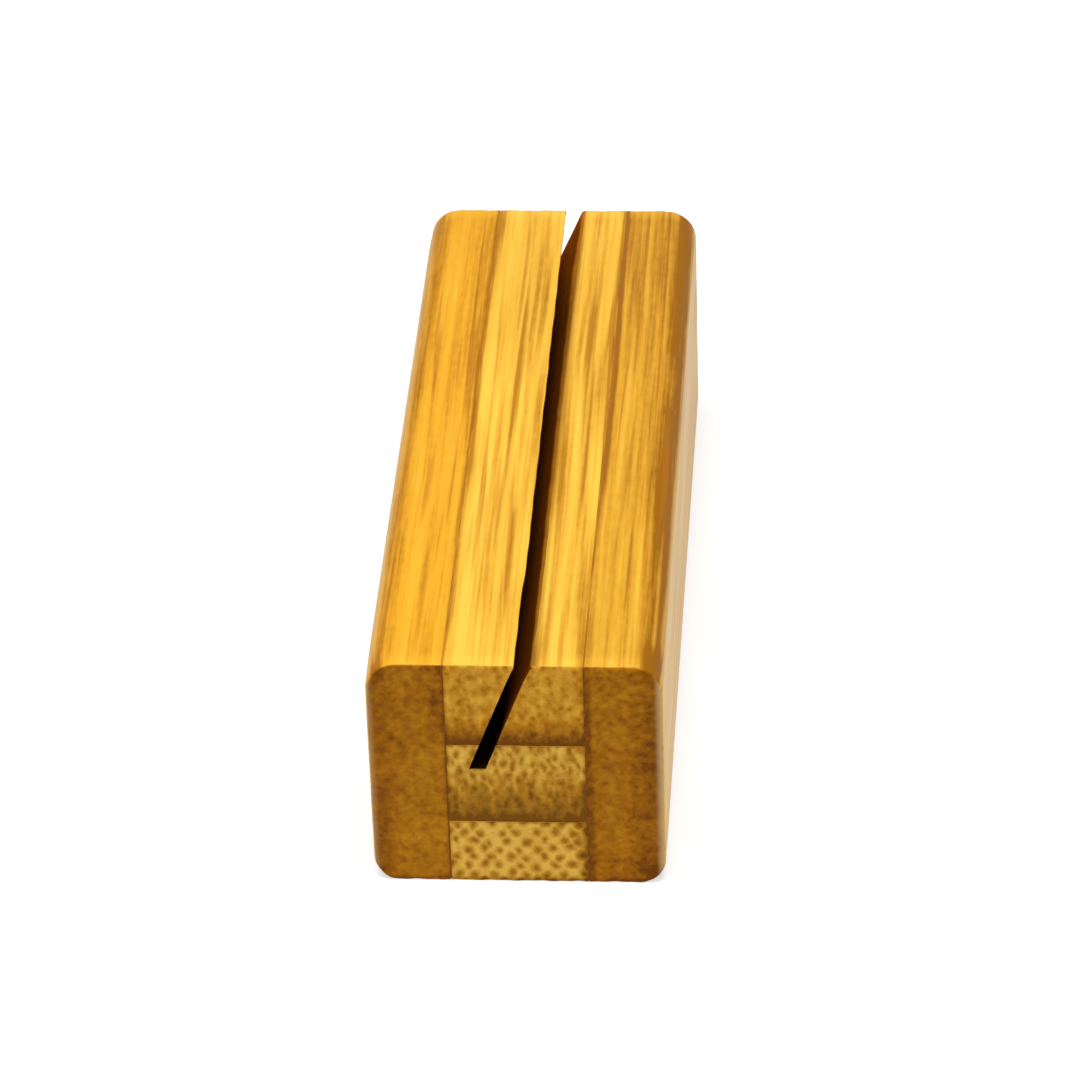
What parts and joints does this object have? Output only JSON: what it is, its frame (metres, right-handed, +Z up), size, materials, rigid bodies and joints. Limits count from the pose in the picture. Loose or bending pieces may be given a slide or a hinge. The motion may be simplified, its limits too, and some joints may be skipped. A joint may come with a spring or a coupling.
{
  "type": "place card holder",
  "caption": "Small block of laminated bamboo board with rounded long edges and a tilted saw slot along its top that holds a place card upright.",
  "frame": {"origin": "middle of the base, on the surface that the block stands on", "axes": "+X across the block to the right, +Y along the grain and the slot away from the front end, +Z up; the slot leans left, towards -X, on its way down"},
  "size_m": [0.02, 0.06, 0.018],
  "materials": {
    "side_bamboo": "satin, clear oiled, caramelised bamboo, fine grain",
    "core_bamboo_light": "satin, clear oiled, pale bamboo",
    "core_bamboo_middle": "satin, clear oiled, pale bamboo with dense lower side",
    "core_bamboo_bottom": "satin, clear oiled, pale bamboo with open fibre bundles",
    "glue": "matt, cured brown wood adhesive"
  },
  "bodies": {
    "root": {"left_side_strip": "side_bamboo", "right_side_strip": "side_bamboo", "core_top_strip_left": "core_bamboo_light", "core_top_strip_right": "core_bamboo_light", "core_middle_strip": "core_bamboo_middle", "core_bottom_strip": "core_bamboo_bottom", "left_glue_line": "glue", "right_glue_line": "glue", "upper_glue_line_left": "glue", "upper_glue_line_right": "glue", "lower_glue_line": "glue"}
  },
  "joints": []
}
